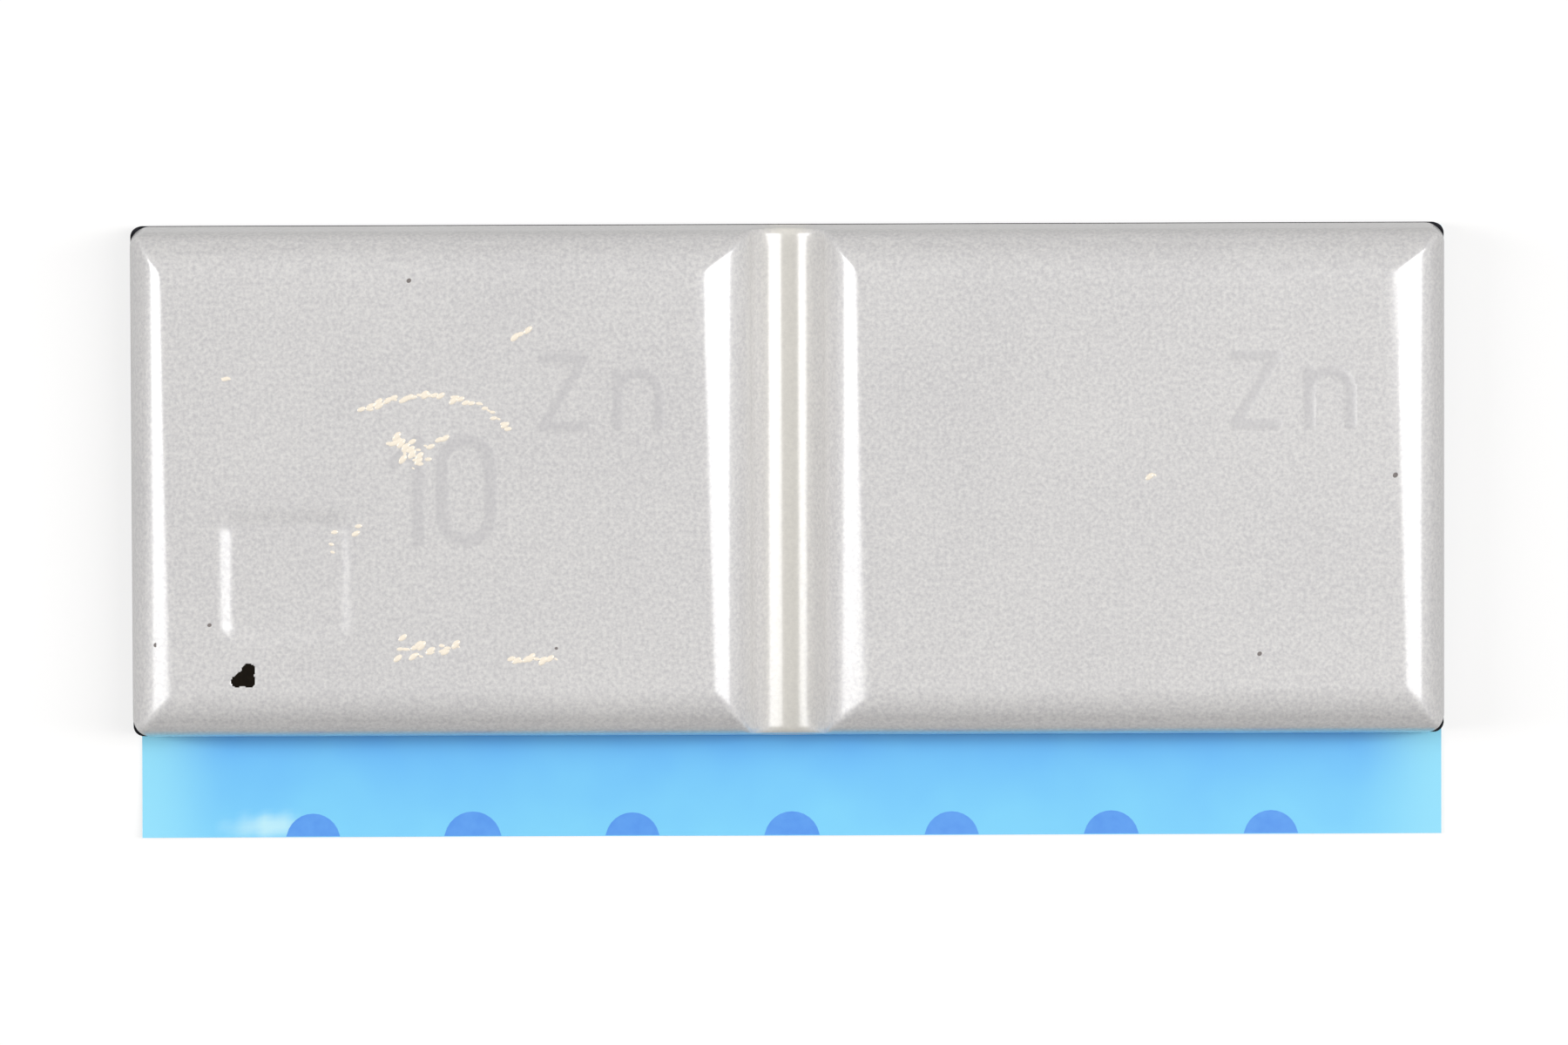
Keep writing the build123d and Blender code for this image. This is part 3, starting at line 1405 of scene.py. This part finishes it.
        uneven = add_node(tree, "FunctionNodeRandomValue", {
            2: self.dot_sizes[0], 3: self.dot_sizes[1], "Seed": given["Seed"]}, data_type="FLOAT")
        dots = add_node(tree, "GeometryNodeInstanceOnPoints", {
            "Points": places.outputs[0], "Instance": disc.outputs[0], "Scale": uneven.outputs[1]})
        loose = add_node(tree, "GeometryNodeRealizeInstances", {"Geometry": dots.outputs[0]})
        place = add_node(tree, "GeometryNodeInputPosition").outputs[0]
        parts = add_node(tree, "ShaderNodeSeparateXYZ", {0: place}).outputs
        cut = add_node(tree, "ShaderNodeMath", {0: parts["Y"], 1: given["Front Edge"]}, operation="MAXIMUM")
        source = add_node(tree, "ShaderNodeCombineXYZ", {
            "X": parts["X"], "Y": cut.outputs[0], "Z": scaled(tree, given["Side"], self.lay_start * MM)})
        direction = add_node(tree, "ShaderNodeCombineXYZ", {"Z": scaled(tree, given["Side"], -1.0)})
        ray = add_node(tree, "GeometryNodeRaycast", {
            "Target Geometry": given["Film"], "Source Position": source.outputs[0],
            "Ray Direction": direction.outputs[0], "Ray Length": self.lay_reach * MM})
        lift = add_node(tree, "ShaderNodeCombineXYZ", {
            "Z": scaled(tree, given["Side"], given["Ink Thickness"])})
        laid = add_node(tree, "GeometryNodeSetPosition", {
            "Geometry": loose.outputs[0], "Position": ray.outputs["Hit Position"], "Offset": lift.outputs[0]})
        below = add_node(tree, "FunctionNodeCompare", {0: given["Side"], 1: 0.0}, operation="LESS_THAN")
        turned = add_node(tree, "GeometryNodeFlipFaces", {
            "Mesh": laid.outputs[0], "Selection": below.outputs[0]})
        inked = add_node(tree, "GeometryNodeSetMaterial", {
            "Geometry": turned.outputs[0], "Material": given["Ink"]})
        add_node(tree, "NodeGroupOutput", {"Dots": inked.outputs[0]})
        return tree

    def build_dots(self, film: bpy.types.Object, tree: bpy.types.NodeTree, side: Face, rows: int,
                   ink: bpy.types.Material) -> bpy.types.Object:
        """Prints dots on one face of the film.

        Args:
            film: the finished film.
            tree: the node tree that lays the dots.
            side: the face to print.
            rows: number of rows, counted from the free edge.
            ink: the ink's finish.

        Returns:
            The finished piece.
        """
        name = f"printed_dots_{side.name.lower()}"
        piece = bpy.data.objects.new(name, film.data.copy())
        bpy.context.scene.collection.objects.link(piece)
        columns = math.floor((self.right - self.left - 2.0 * self.dot_margin) / self.dot_pitch) + 1
        start = (self.left + self.right - (columns - 1) * self.dot_pitch) / 2.0
        inputs = {
            "Pitch": self.dot_pitch * MM, "Row Spacing": self.row_spacing * MM,
            "Radius": self.dot_radius * MM, "Front Edge": (self.front + self.edge_trim) * MM,
            "Start X": start * MM, "Start Y": (self.front + self.dot_edge_offset) * MM, "Side": side.value,
            "Ink Thickness": self.ink_thickness * MM, "Columns": columns, "Rows": rows,
            "Seed": self.dot_seed, "Ink": ink,
        }
        grow(piece, tree, inputs)
        settle(piece, Slot.FILM)
        return piece

    def build(self) -> None:
        """Builds and dresses the film and its print."""
        film = self.build_film(self.finish.material())
        ink = self.ink.material()
        tree = self.dot_tree()
        all_rows = math.ceil((self.back - self.front - self.dot_edge_offset) / self.row_spacing)
        dots = [
            self.build_dots(film, tree, Face.TOP, 1, ink),
            self.build_dots(film, tree, Face.UNDERSIDE, all_rows, ink),
        ]


@dataclass(frozen=True)
class StripLight:
    """A long soft box over one end of the object, given by the angles off the vertical that it covers."""

    name: str
    side: float
    inner_angle: float
    outer_angle: float
    depth_angle: float
    radiance: float
    # how far the soft box leans to the back
    rise_angle: float = 3.6
    distance: float = 900.0

    def build(self) -> None:
        """Places the soft box, facing the object and unseen by the camera."""
        middle = math.radians((self.inner_angle + self.outer_angle) / 2.0)
        spread = math.radians((self.outer_angle - self.inner_angle) / 2.0)
        light = bpy.data.lights.new(self.name, "AREA")
        light.shape = "RECTANGLE"
        light.size = 2.0 * self.distance * math.tan(spread) * MM
        light.size_y = 2.0 * self.distance * math.tan(math.radians(self.depth_angle)) * MM
        light.energy = self.radiance * light.size * light.size_y * math.pi
        rise = math.radians(self.rise_angle)
        flat = Vector((self.side * math.sin(middle), 0.0, math.cos(middle)))
        away = flat * math.cos(rise) + Vector((0.0, math.sin(rise), 0.0))
        lengthways = Vector((0.0, math.cos(rise), 0.0)) - flat * math.sin(rise)
        turn = Matrix((lengthways.cross(away), lengthways, away)).transposed().to_4x4()
        lamp = bpy.data.objects.new(self.name, light)
        lamp.matrix_world = Matrix.Translation(away * self.distance * MM) @ turn
        lamp.visible_camera = False
        bpy.context.scene.collection.objects.link(lamp)


@dataclass
class Studio:
    """Plain white sweep, two soft strips over the ends, a pale surround and a camera nearly overhead."""

    strips: tuple[StripLight, ...] = (
        StripLight("right_strip", 1.0, 12.0, 62.0, 8.5, 8.5),
        StripLight("left_strip", -1.0, 28.0, 70.0, 8.5, 8.5),
    )
    # strength of the surround's soft light at the back, and how far to the front it reaches
    soft_back: float = 0.6
    soft_reach: float = 0.4
    # strength of its reflections at the front, the back and the two ends
    mirror_front: float = 0.02
    mirror_back: float = 0.2
    mirror_ends: float = 1.5
    floor_colour: str = "#959493"
    floor_glow: float = 0.73
    floor_gleam: float = 0.38
    floor_size: float = 4000.0
    camera_distance: float = 300.0
    camera_tilt: float = 3.0
    camera_roll: float = 0.2
    frame_width: float = 45.95
    target: tuple[float, float, float] = (-0.116, -1.25, 1.1)
    sensor: float = 36.0

    def build_world(self) -> None:
        """Lights the scene all round, more from the back than the front, and shows the camera pure white."""
        world = bpy.data.worlds.new("pale_surround")
        world.use_nodes = True
        tree = world.node_tree
        tree.nodes.clear()
        path = add_node(tree, "ShaderNodeLightPath").outputs
        direction = add_node(tree, "ShaderNodeTexCoord").outputs["Generated"]
        parts = add_node(tree, "ShaderNodeSeparateXYZ", {0: direction}).outputs
        backwards = parts["Y"]
        even = add_node(tree, "ShaderNodeMapRange", {
            "Value": backwards, "From Min": -self.soft_reach, "To Max": self.soft_back})
        aside = add_node(tree, "ShaderNodeMath", {0: parts["X"], 1: parts["X"]}, operation="MULTIPLY")
        ahead = add_node(tree, "ShaderNodeMath", {0: 1.0, 1: aside.outputs[0]}, operation="SUBTRACT")
        soft = add_node(tree, "ShaderNodeMath", {
            0: even.outputs["Result"], 1: ahead.outputs[0]}, operation="MULTIPLY")
        length = add_node(tree, "ShaderNodeMapRange", {
            "Value": backwards, "From Min": -1.0, "To Min": self.mirror_front, "To Max": self.mirror_back})
        mirror = add_node(tree, "ShaderNodeMath", {
            0: aside.outputs[0], 1: self.mirror_ends, 2: length.outputs["Result"]}, operation="MULTIPLY_ADD")
        lit = add_node(tree, "ShaderNodeMix", {
            "Factor": path["Is Glossy Ray"], 2: soft.outputs[0], 3: mirror.outputs[0]})
        level = add_node(tree, "ShaderNodeMix", {
            "Factor": path["Is Camera Ray"], 2: lit.outputs[0], 3: 1.0})
        back = add_node(tree, "ShaderNodeBackground", {"Strength": level.outputs[0]})
        add_node(tree, "ShaderNodeOutputWorld", {"Surface": back.outputs[0]})
        bpy.context.scene.world = world

    def build_floor(self) -> None:
        """Lays a white floor that keeps the object's shadow."""
        material, tree = new_material("white_card")
        path = add_node(tree, "ShaderNodeLightPath").outputs
        card = add_node(tree, "ShaderNodeBsdfDiffuse", {"Color": linear(self.floor_colour)})
        gleam = add_node(tree, "ShaderNodeMath", {
            0: path["Is Glossy Ray"], 1: self.floor_gleam}, operation="MULTIPLY")
        level = add_node(tree, "ShaderNodeMath", {
            0: path["Is Camera Ray"], 1: self.floor_glow, 2: gleam.outputs[0]}, operation="MULTIPLY_ADD")
        glow = add_node(tree, "ShaderNodeEmission", {"Strength": level.outputs[0]})
        both = add_node(tree, "ShaderNodeAddShader", {0: card.outputs[0], 1: glow.outputs[0]})
        add_node(tree, "ShaderNodeOutputMaterial", {"Surface": both.outputs[0]})
        half = self.floor_size / 2.0
        corners = np.array([(-half, -half, 0.0), (half, -half, 0.0), (half, half, 0.0), (-half, half, 0.0)])
        mesh_piece("floor", corners, [[0, 1, 2, 3]], material)

    def build_camera(self) -> None:
        """Sets the camera over the object, with the photograph's framing."""
        tilt, roll = math.radians(self.camera_tilt), math.radians(self.camera_roll)
        data = bpy.data.cameras.new("overhead_camera")
        data.sensor_width = self.sensor
        data.lens = self.sensor * self.camera_distance / self.frame_width
        data.clip_start = 10.0 * MM
        back = Vector((0.0, math.sin(tilt), math.cos(tilt)))
        across = Vector((math.cos(roll), -math.sin(roll), 0.0))
        across = (across - back * across.dot(back)).normalized()
        turn = Matrix((across, back.cross(across), back)).transposed().to_4x4()
        camera = bpy.data.objects.new("overhead_camera", data)
        place = (Vector(self.target) + back * self.camera_distance) * MM
        camera.matrix_world = Matrix.Translation(place) @ turn
        bpy.context.scene.collection.objects.link(camera)
        bpy.context.scene.camera = camera

    def build(self) -> None:
        """Builds the floor, the lights and the camera."""
        bpy.context.scene.view_settings.view_transform = "Standard"
        self.build_world()
        self.build_floor()
        for strip in self.strips:
            strip.build()
        self.build_camera()


def main() -> None:
    """Builds the studio and the three pieces of the weight, in order."""
    logging.basicConfig(level=logging.INFO, format="%(name)s: %(message)s")
    Studio().build()
    casting_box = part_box(CadNode.CASTING.value)
    tape_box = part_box(CadNode.TAPE.value)
    liner_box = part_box(CadNode.LINER.value)
    grime = BareZinc("surface_grime", "#77706E", "#8E8886")
    ZincCasting(*casting_box, GlossEnamel(), BareZinc(), grime, LacquerDrop()).build()
    FoamTape(*tape_box, CutFoam()).build()
    ReleaseLiner(*liner_box, tape_box[0], ReleaseFilm(), BlueInk()).build()


if __name__ == "__main__":
    main()
